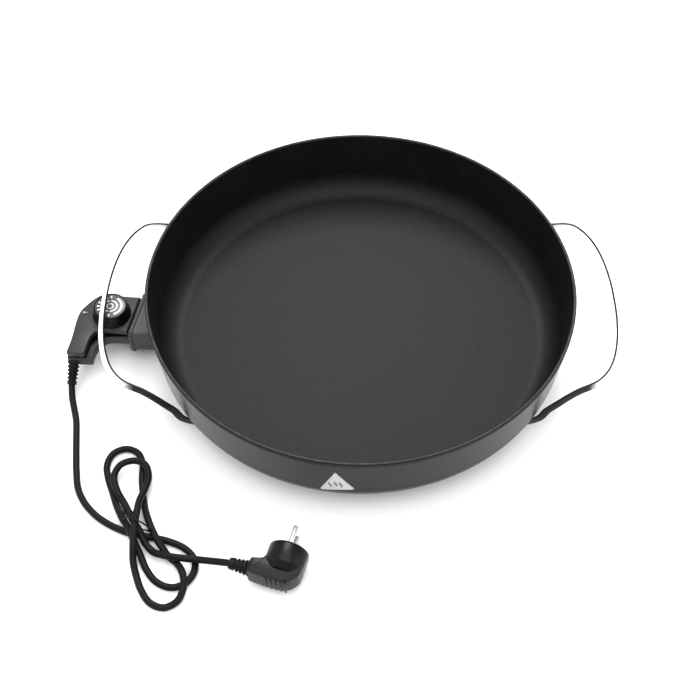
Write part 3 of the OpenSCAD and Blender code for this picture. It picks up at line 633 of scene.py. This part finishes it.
def makeGuardRib():
    # a round bead along the guard's outer edge
    u = makeGuardPath(guard["half"] - 1.3, guard["top"] - 1.3, guard["low"], 4)
    u = smoothPath(u, 2)
    path = np.concatenate([(guardFace(u[:, 0]) + 1.7)[:, None], u], 1)
    t = tangents(path)
    s = np.broadcast_to(np.array([1.0, 0, 0]), t.shape)
    v = np.cross(s, t)
    v /= np.linalg.norm(v, axis=1)[:, None]
    a = np.arange(14) * 2 * np.pi / 14
    around = np.cos(a)[None, :, None] * s[:, None] + np.sin(a)[None, :, None] * v[:, None]
    return path[:, None] + guard["rib"] * around


def makeGuardPaint():
    # satin grey stove paint over sheet: light orange peel
    paint = Paint("guardPaint", **{"Specular IOR Level": 0.3})
    where = paint.place()
    peel = paint.noise(where, 1.4, 3)
    drift = paint.noise(where, 14, 4)
    return paint.finish(Base_Color=paint.blend(drift, (0.026, 0.027, 0.027), (0.042, 0.043, 0.043)),
                        Roughness=0.42 + drift * 0.08, Normal=paint.bump(peel, 0.12, 0.04))


guardPaint = makeGuardPaint()
hood = Shape()
hood.add(*gridPiece(makeGuard())).add(*gridPiece(makeGuardRib()))
hood.piece("inletGuard", "pan", guardPaint, ["inlet_guard"], 40, "guard_paint")
print("guard made")


# Badge
badge = {"corners": [[-35.6, 38.2], [-5.6, 43.2], [-22.2, 73.2]], "round": 2.2,
         "strokes": [[-26.8, 44.8], [-22, 47], [-17.6, 46.2]], "tall": 9}


def onWall(x, z, lift):
    # a point over the front wall, stood off from it by lift
    r = panOutR(z) + lift
    return np.stack([x, -np.sqrt(r ** 2 - x ** 2), z], -1)


def makeBadge():
    # a rounded triangle laid on the wall: outline rings drawn in towards the middle, raised in the centre
    corners = np.array(badge["corners"])
    following = np.roll(corners, -1, 0)
    sides = np.array([c + (d - c) * k for c, d in zip(corners, following) for k in (0, 0.2, 0.4, 0.6, 0.8)])
    edge = roundCorners(sides, badge["round"], 4)
    middle = edge.mean(0)
    rings = [(1.0, 0.0), (1.0, 0.8), (0.975, 1.1), (0.90, 1.1), (0.88, 0.85), (0.6, 0.85), (0.3, 0.85), (0.02, 0.85)]
    grid = np.stack([onWall(*(middle + (edge - middle) * k).T, lift) for k, lift in rings])
    return grid


def makeWave(x, z, tall):
    # one raised stroke: a sine drawn upwards, tapered at both ends
    t = np.linspace(0, 1, 24)
    px, pz = x + 1.1 * np.sin(2 * np.pi * t), z + t * tall
    path = onWall(px, pz, 1.0)
    return tubeGrid(path, 0.12 + 0.5 * np.sin(np.pi * t) ** 0.5, 8)


def makeBadgePaint(name, dark, light):
    # satin metal: brushing lines running up the plate and a slow drift
    paint = Paint(name, Metallic=0.5)
    where = paint.place(scale=(1, 1, 0.1))
    lines = paint.noise(where, 0.6, 3)
    drift = paint.noise(paint.place(), 8, 3)
    return paint.finish(Base_Color=paint.blend(lines * 0.5 + drift * 0.5, dark, light),
                        Roughness=0.34 + lines * 0.1, Normal=paint.bump(lines, 0.08, 0.02))


plateMetal = makeBadgePaint("badgePlate", (0.42, 0.425, 0.43), (0.56, 0.565, 0.57))
strokeInk = makeBadgePaint("badgeStroke", (0.10, 0.10, 0.10), (0.16, 0.16, 0.16))
sign = Shape().add(*gridPiece(makeBadge()))
for x, z in badge["strokes"]:
    sign.add(*gridPiece(makeWave(x, z, badge["tall"])), mark=1)
sign.piece("wallBadge", "pan", [plateMetal, strokeInk], ["wall_badge"], 30, "badge_metal")
print("badge made")


# Controller
box = {"deck": 39, "seam": 31, "gap": 2, "base": 20, "armX": -217.5, "noseX": -204.5}
armX = box["armX"] - knobX
armFront, armBack = armX - 5, armX + 3.5            # the arm's end is cut askew like the guard
topOutline = [[armBack, 21.5], [9, 22.5], [-10, 27], [-19, 21], [-25, 14], [-32, 4], [-34, -10], [-35, -29],
              [-38, -46.5], [-21, -47.5], [-17.5, -26], [-12, -19.5], [-4, -19], [armFront, -21]]
topRound = [1, 10, 6, 7, 8, 8, 9, 10, 2.5, 2.5, 8, 7, 6, 1]
baseOutline = [[armBack, 22.5], [9, 23.5], [-10, 28], [-19, 22], [-25.5, 14.5], [-32.5, 4.5], [-34.5, -10],
               [-35.5, -29],
               [-38.5, -47], [-14.5, -48], [-13.5, -37], [-10.5, -29.5], [-6, -24.5], [-1, -22], [armFront, -22.5]]
baseRound = [1, 10, 6, 7, 8, 8, 9, 10, 2.5, 2.2, 8, 8, 7, 6, 1]


def shellGrid(outline, rounding, low, high, radius, lowRadius=None, inset=0.0):
    # a rounded outline carried upwards between rounded lower and upper edges
    edge = insetOutline(roundCorners(outline, rounding, 6), inset) + [knobX, 0]
    return stacked(edge, bevelLevels(low, high, radius, 5, lowRadius))


shellPlastic = makeMoulding("shellMoulding", (0.014, 0.0148, 0.015), (0.026, 0.0268, 0.027), 0.42, shine=0.25)
glossBlack = makeMoulding("glossMoulding", (0.0015, 0.0015, 0.0016), (0.004, 0.004, 0.0042), 0.28, bump=0.08,
                          shine=0.1)
shellTop = Shape().add(*gridPiece(shellGrid(topOutline, topRound, box["seam"] + box["gap"], box["deck"], 1.3, 0.4)))
shellTop.piece("controllerTop", "controller", shellPlastic, ["controller_top"], 40, "shell_plastic")
bandLow, bandHigh = box["seam"] - 0.3, box["seam"] + box["gap"] + 0.3
band = Shape().add(*gridPiece(shellGrid(topOutline, topRound, bandLow, bandHigh, 0.2, inset=1.2)))
band.piece("seamBand", "controller", glossBlack, ["seam_band"], 40, "dark_gloss")


def makeKeel():
    # the hidden lower body: a tapering section carried along X
    half = np.array([19, 14.5, 9.5])
    section = np.array([[-half[0], 20.5], [-half[1], 11.5], [-half[2], 5],
                        [half[2], 5], [half[1], 11.5], [half[0], 20.5]])
    section = roundCorners(section, [0.5, 5, 2.5, 2.5, 5, 0.5], 5)
    xs = np.array([-8, -7, 6, armX + 1.2]) + knobX
    size = np.array([0.94, 1, 1, 1])
    middle = np.array([0, 14])
    return np.stack([np.concatenate([np.full((len(section), 1), x), middle + (section - middle) * k], 1)
                     for x, k in zip(xs, size)])


def makeNose():
    # the block that enters the guard: one section carried along X, slightly drawn in at its end
    section = np.array([[-19, 20], [-14.5, 11.5], [-9.5, 5], [9.5, 5], [14.5, 11.5], [19, 20], [19, 30], [-19, 30]])
    section = roundCorners(section, 1.6, 4)
    middle = np.array([0, 16])
    xs, size = [box["armX"] - 6, box["noseX"] - 0.8, box["noseX"]], [1, 1, 0.96]
    return np.stack([np.concatenate([np.full((len(section), 1), x), middle + (section - middle) * k], 1)
                     for x, k in zip(xs, size)])


baseGrid, baseFaces = gridPiece(shellGrid(baseOutline, baseRound, box["base"], box["seam"], 0.9, 2.2))
# painted shade: the base's top face, the ledge beside the seam, takes the dark gloss where the upper shell's edge
# shades it
shellLow = Shape().add(baseGrid, baseFaces, [0] * (len(baseFaces) - 1) + [1])
shellLow.add(*gridPiece(makeKeel())).add(*gridPiece(makeNose()))
shellLow.piece("controllerBase", "controller", [shellPlastic, glossBlack], ["controller_base"], 40, "shell_plastic")


def makeRibbedBoot(start, way, rings, sides=40):
    # radius and distance pairs turned round the lead's line
    return lathe(rings, sides, start, way, (0, 0, 1))


def ribProfile(length, rootR, tipR, first, pitch, count, groove):
    # a straight taper with round-edged grooves cut at an even pitch
    s = np.linspace(0, length, 140)
    r = rootR + (tipR - rootR) * s / length
    phase = (s - first) / pitch
    inside = (phase > 0) & (phase < count)
    wave = np.where(inside, np.clip(2.6 * np.cos(2 * np.pi * phase) + 0.4, -1, 1), 1)
    r = r - groove * (1 - wave) / 2
    end = np.clip((length - s) / 1.2, 0, 1)
    r = r - 0.9 * (1 - np.sqrt(1 - (1 - end) ** 2))
    return np.stack([r, s], -1)


rubber = makeMoulding("bootRubber", (0.002, 0.002, 0.002), (0.007, 0.007, 0.0072), 0.45, grain=0.6, shine=0.12)
bootRoot = bootAt + [knobX, 0, 0] - 1.5 * bootDir
bootProfile = ribProfile(27.5, 6.3, 4.3, 6.5, 3.6, 5, 1.15)
boot = Shape().add(*gridPiece(makeRibbedBoot(bootRoot, bootDir, bootProfile)))
boot.piece("leadBoot", "controller", rubber, ["cord_boot"], 50, "lead_rubber")
print("controller made")


# Knob
knob = {"low": 39.4, "skirt": 18.25, "high": 51.4, "dial": 14.6, "sides": 168, "flutes": 28, "fluteDepth": 0.018}


def makeKnobProfile():
    # radius and height pairs: skirt, flared grip, top edge and the dial's recess
    z0, z1, skirt = knob["low"], knob["high"], knob["skirt"]
    return np.array([[2, z0 + 0.6], [skirt - 2.4, z0 + 0.6], [skirt - 2.0, z0], [skirt - 0.5, z0], [skirt, z0 + 0.5],
                     [skirt - 0.05, z0 + 1.6], [skirt - 0.5, z0 + 2.8], [skirt - 1.1, z0 + 4.2], [skirt - 1.5, z0 + 6],
                     [skirt - 1.75, z0 + 8], [skirt - 1.85, z1 - 1.6], [skirt - 2.0, z1 - 0.8],
                     [skirt - 2.4, z1 - 0.25], [skirt - 3.0, z1], [knob["dial"] + 0.25, z1],
                     [knob["dial"] + 0.1, z1 - 0.5], [2, z1 - 0.5]])


def makeKnobGrip():
    # shallow finger flutes: the middle heights' radius dips by a raised cosine of the angle
    sides, knobProfile = knob["sides"], makeKnobProfile()
    grid = lathe(knobProfile, sides, (knobX, 0, 0))
    a = np.arange(sides) * 2 * np.pi / sides
    heights = [knob["low"] + 2.5, knob["low"] + 4.5, knob["high"] - 1.4, knob["high"] - 0.6]
    weight = np.interp(knobProfile[:, 1], heights, [0, 1, 1, 0])
    weight = np.where(knobProfile[:, 0] > 15.5, weight, 0)
    dip = 1 - knob["fluteDepth"] * weight[:, None] * (0.5 - 0.5 * np.cos(knob["flutes"] * a))[None, :] ** 2
    centre = np.array([knobX, 0, 0])
    flat = grid - centre
    flat[..., :2] *= dip[..., None]
    return flat + centre


def makeDialPaint():
    # printed scale: rings and ticks from the distance and angle round the knob's axis
    paint = Paint("dialScale", **{"Coat Weight": 0.2, "Coat Roughness": 0.25})
    where = paint.place((knobX, 0, 0))
    x, y, _ = paint.split(where)
    radius = (x * x + y * y) ** 0.5
    angle = paint.math("ARCTAN2", y, x)
    wide = paint.math("ABSOLUTE", angle)
    wedge = paint.between(radius, 10.0, 11.9) * paint.between(angle, -1.15, 1.0, 0.03)
    teeth = paint.step(paint.math("COSINE", angle * 16), 0.35, 0.6) * paint.step(wide, 1.35, 1.4)
    outerTicks = paint.between(radius, 9.6, 12.6) * teeth
    inner = paint.between(radius, 5.9, 7.1) * (1 - paint.between(wide, 1.5, 1.75, 0.03))
    hub = paint.between(radius, 2.6, 3.3)
    mark = paint.math("MAXIMUM", paint.math("MAXIMUM", wedge, outerTicks), paint.math("MAXIMUM", inner, hub))
    fine = paint.noise(where, 0.4, 2)
    drift = paint.noise(where, 6, 3)
    base = paint.blend(drift, (0.018, 0.0185, 0.019), (0.03, 0.0305, 0.031))
    worn = mark * (0.9 - 0.35 * paint.step(fine, 0.55, 0.75))
    return paint.finish(Base_Color=paint.blend(worn, base, (0.75, 0.75, 0.74)), Roughness=0.36 + fine * 0.1,
                        Normal=paint.bump(fine * 0.3 + mark, 0.15, 0.04))


dialPaint = makeDialPaint()
Shape().add(*gridPiece(makeKnobGrip())).piece("knobGrip", "knob", glossBlack, ["knob"], 40, "dark_gloss")
dialProfile = [[0.4, 51.3], [knob["dial"] - 0.5, 51.3], [knob["dial"] - 0.1, 51.1], [knob["dial"], 50.6], [0.4, 50.6]]
dial = Shape().add(*gridPiece(lathe(dialProfile, 96, (knobX, 0, 0))))
dial.piece("dialFace", "knob", dialPaint, ["dial_plate"], 40, "shell_plastic")
print("knob made")


# Plug
plugBlack = makeMoulding("plugMoulding", (0.002, 0.002, 0.0021), (0.006, 0.006, 0.0062), 0.3, grain=0.5, shine=0.15)


def makePlugHead():
    # a round head lying along the plug's y, with two flat sides: the radius is capped where a flat cuts it
    full, depth = plug["diameter"] / 2, plug["depth"]
    prof = np.array([[2, -depth - 5], [full - 5, -depth - 5], [full - 4, -depth - 4.4], [full - 2, -depth - 1.2],
                     [full - 0.4, -depth], [full, -depth + 1], [full, -depth / 2], [full, -2.2], [full - 0.3, -1.0],
                     [full - 1.0, -0.3], [full - 1.8, 0], [full - 3.4, 0], [full - 3.7, -0.7], [2, -0.7]])
    a = np.arange(120) * 2 * np.pi / 120
    radius, flat = prof[:, 0, None], (full - 0.9) / np.maximum(np.abs(np.cos(a)), 0.3)[None]
    reach = np.where(radius > 10, np.minimum(radius, flat), radius)
    return np.stack([reach * np.cos(a), np.broadcast_to(prof[:, 1, None], reach.shape), reach * np.sin(a)], -1)


def makePlugSlab():
    # the flat block behind the head that the lead's boot enters
    outline = np.array([[-17, -14], [17, -14], [16.5, -24], [11, -30.5], [4, -34], [-14, -34], [-27.5, -32.6],
                        [-28.5, -26], [-27.5, -19.4], [-17, -17]])
    edge = roundCorners(outline, [3, 3, 3, 2, 2, 6, 2, 1, 2, 6], 5)
    return stacked(edge, [(2.2, -10.6), (0.8, -10.2), (0.2, -9.2), (0, -7.5), (0, 7.5), (0.2, 9.2), (0.8, 10.2),
                          (2.2, 10.6)])


def makeBar(x0, x1, y0, y1, z0, z1, radius):
    # a small block with rounded upright and level edges
    edge = roundCorners([[x0, y0], [x1, y0], [x1, y1], [x0, y1]], radius * 2, 4)
    return stacked(edge, bevelLevels(z0, z1, radius, 3))


plugShape = Shape()
plugGrids = [makePlugHead(), makePlugSlab()]
for k in range(plug["gripRibs"]):
    along = plug["gripPitch"] * k
    plugGrids.append(makeBar(-11 + along, -9.2 + along, -35, -33, -8.4, 8.4, 0.5))
for grid in plugGrids:
    gridPoints, gridQuads = gridPiece(grid)
    plugShape.add(atPlug(gridPoints), gridQuads)
plugPiece = plugShape.piece("plugBody", "controller", plugBlack, ["plug_body"], 35, "plug_plastic")
plugBootProfile = ribProfile(19.5, 7.0, 5.0, 1.2, 3.5, 4, 1.2)
tailRoot, tailWay = atPlug([-plug["neck"] + 1, plug["bend"], 0]), np.array([-turnCos, -turnSin, 0])
plugBootShape = Shape().add(*gridPiece(makeRibbedBoot(tailRoot, tailWay, plugBootProfile)))
plugBoot = plugBootShape.piece("plugBoot", "controller", rubber, ["plug_boot"], 50, "lead_rubber")
pinSteel = makeSteel("pinSteel", (0.62, 0.62, 0.60), (0.78, 0.78, 0.76), 0.2, 0.5, (1, 1, 1))
pin = {"radius": 2.4, "shaft": 22.4, "tip": 1.2, "root": -5, "apart": 19}
pinShape = Shape()
pinWay = np.array([-turnSin, turnCos, 0])
pinTip = arc(pin["radius"] - pin["tip"], pin["shaft"], pin["tip"], 0, 90, 6)[1:]
pinProfile = np.concatenate([[[1.0, 0.0], [pin["radius"], 0.0], [pin["radius"], pin["shaft"]]], pinTip])
for s in (-1, 1):
    pinShape.add(*gridPiece(lathe(pinProfile, 28, atPlug([0, pin["root"], s * pin["apart"] / 2]), pinWay)))
plugPins = pinShape.piece("plugPins", "controller", pinSteel, ["plug_pins"], 40, "plain_steel")


# Tie
tie = {"radius": 0.75, "sides": 10, "steps": 6}
tieRows = [[44, -203, 25.5], [41, -208.5, 23], [34, -209, 15.5], [30, -208.5, 9], [33, -209.5, 4.8], [42, -212, 3.6],
           [53.5, -216, 4.8], [58.5, -219.5, 8.6], [57, -219, 14], [49, -216, 20.6], [40, -212, 21],
           [33, -207.5, 23.5], [28, -202, 25]]
tiePath = smoothPath(np.array(tieRows, float) + [knobX, 0, 0], tie["steps"])
tieShape = Shape().add(*gridPiece(tubeGrid(tiePath, tie["radius"], tie["sides"])))
tieShape.piece("leadTie", "controller", rubber, ["cord_tie"], 50, "lead_rubber")
print("plug and tie made")


# CAD pieces that are shown as they are
steel = makeSteel("plainSteel", (0.42, 0.42, 0.42), (0.58, 0.58, 0.58))
footPlastic = makeMoulding("footMoulding", (0.003, 0.003, 0.003), (0.009, 0.009, 0.009), 0.5, shine=0.15)
brass = makeSteel("contactBrass", (0.62, 0.45, 0.20), (0.78, 0.60, 0.30), 0.25)
ceramic = makeMoulding("paleCeramic", (0.52, 0.50, 0.44), (0.66, 0.64, 0.58), 0.6)
mark = makeMoulding("printGrey", (0.20, 0.20, 0.195), (0.30, 0.30, 0.29), 0.45)
kept = {"heating_element": steel, "terminal_pins": steel, "terminal_seals": ceramic, "earth_blade": steel,
        "probe_sleeve": steel, "guard_screws": steel, "handle_plates": steel, "foot_screws": steel,
        "foot_front_left": footPlastic,
        "foot_front_right": footPlastic, "foot_back_left": footPlastic, "foot_back_right": footPlastic,
        "pointer_mark": mark, "probe_rod": steel, "contact_sockets": brass, "contact_carrier": ceramic,
        "earth_clip": steel, "thermostat_frame": steel, "bimetal_blade": brass, "switch_contacts": steel,
        "shell_screws": steel,
        "cord_clamp": footPlastic, "inner_leads": rubber, "plug_earth_clips": brass, "knob_spindle": steel,
        "thermostat_cam": ceramic}
for name, paint in kept.items():
    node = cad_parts[name]
    node.data.materials.clear()
    node.data.materials.append(paint)
print("CAD pieces painted")


# Floor and light
studio = {"floor": 6.0, "world": 0.95, "key": 46, "top": 80, "side": 6}
floorMesh = bpy.data.meshes.new("floor")
half = studio["floor"]
floorMesh.from_pydata([(-half, -half, 0), (half, -half, 0), (half, half, 0), (-half, half, 0)], [], [(0, 1, 2, 3)])
floor = bpy.data.objects.new("floor", floorMesh)
bpy.context.scene.collection.objects.link(floor)
floorPaint = Paint("studioFloor", **{"Base Color": (0.94, 0.94, 0.94, 1), "Roughness": 0.7})
floor.data.materials.append(floorPaint.material)
world = bpy.data.worlds.new("studio")
world.use_nodes = True
world.node_tree.nodes["Background"].inputs[0].default_value = (1, 1, 1, 1)
world.node_tree.nodes["Background"].inputs[1].default_value = studio["world"]
bpy.context.scene.world = world
bpy.context.scene.view_settings.view_transform = "Standard"


def addLight(name, place, aimAt, size, power, tall=None):
    data = bpy.data.lights.new(name, "AREA")
    data.energy = power
    data.shape = "RECTANGLE"
    data.size, data.size_y = size, tall or size
    light = bpy.data.objects.new(name, data)
    bpy.context.scene.collection.objects.link(light)
    light.location = place
    light.rotation_euler = (Vector(aimAt) - Vector(place)).to_track_quat("-Z", "Y").to_euler()


addLight("keyLight", (0.0, 1.35, 1.9), (0, 0, 0), 1.1, studio["key"])
addLight("topLight", (0.0, -0.5, 2.8), (0, -0.1, 0), 3.2, studio["top"])
addLight("leftLight", (-2.0, -0.4, 0.9), (0, 0, 0.05), 1.2, studio["side"])
addLight("rightLight", (2.0, -0.4, 0.9), (0, 0, 0.05), 1.2, studio["side"])
print("floor and light made")
